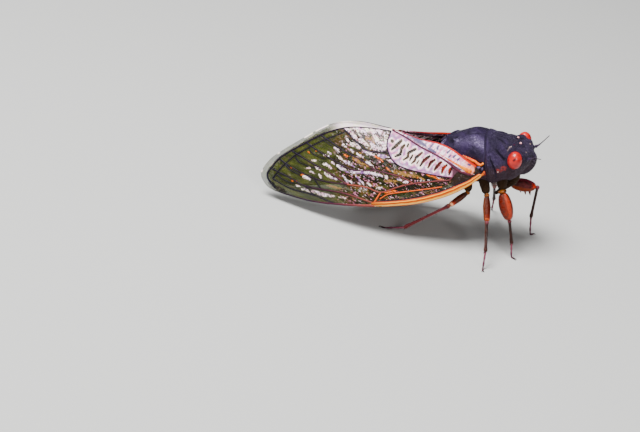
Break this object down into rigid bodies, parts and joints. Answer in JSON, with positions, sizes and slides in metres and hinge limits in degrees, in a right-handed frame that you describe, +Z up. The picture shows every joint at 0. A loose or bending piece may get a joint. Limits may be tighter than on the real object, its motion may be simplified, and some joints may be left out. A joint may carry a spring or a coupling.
{
  "type": "periodical cicada",
  "caption": "Life-size adult periodical cicada standing with roof-like folded wings, black body, red eyes and orange-veined clear wings.",
  "frame": {"origin": "on the ground, under the middle of the whole insect's box", "axes": "+X forward towards the head, +Y to the insect's left, +Z up"},
  "size_m": [0.0431, 0.0222, 0.0176],
  "materials": {
    "black_cuticle": "blue-black insect cuticle with a fine sheen",
    "belly": "dark cuticle banded with orange-brown",
    "eye_red": "glossy red compound eye",
    "rusty_leg": "rust-orange cuticle",
    "dark_leg": "dark reddish-brown cuticle",
    "wing": "clear amber membrane with orange and dark veins"
  },
  "bodies": {
    "root": {"head": "black_cuticle", "clypeus": "black_cuticle", "rostrum": "black_cuticle", "pronotum": "black_cuticle", "mesonotum": "black_cuticle", "thorax": "black_cuticle", "abdomen": "belly", "eye_left": "eye_red", "eye_right": "eye_red", "antenna_left": "dark_leg", "antenna_right": "dark_leg", "coxa_front_left": "black_cuticle", "coxa_front_right": "black_cuticle", "coxa_middle_left": "black_cuticle", "coxa_middle_right": "black_cuticle", "coxa_hind_left": "black_cuticle", "coxa_hind_right": "black_cuticle", "femur_front_left": "rusty_leg", "femur_front_right": "rusty_leg", "femur_middle_left": "rusty_leg", "femur_middle_right": "rusty_leg", "femur_hind_left": "rusty_leg", "femur_hind_right": "rusty_leg", "tibia_front_left": "dark_leg", "tibia_front_right": "dark_leg", "tibia_middle_left": "dark_leg", "tibia_middle_right": "dark_leg", "tibia_hind_left": "dark_leg", "tibia_hind_right": "dark_leg", "tarsus_front_left": "dark_leg", "tarsus_front_right": "dark_leg", "tarsus_middle_left": "dark_leg", "tarsus_middle_right": "dark_leg", "tarsus_hind_left": "dark_leg", "tarsus_hind_right": "dark_leg", "forewing_left": "wing", "forewing_right": "wing", "hindwing_left": "wing", "hindwing_right": "wing"}
  },
  "joints": []
}
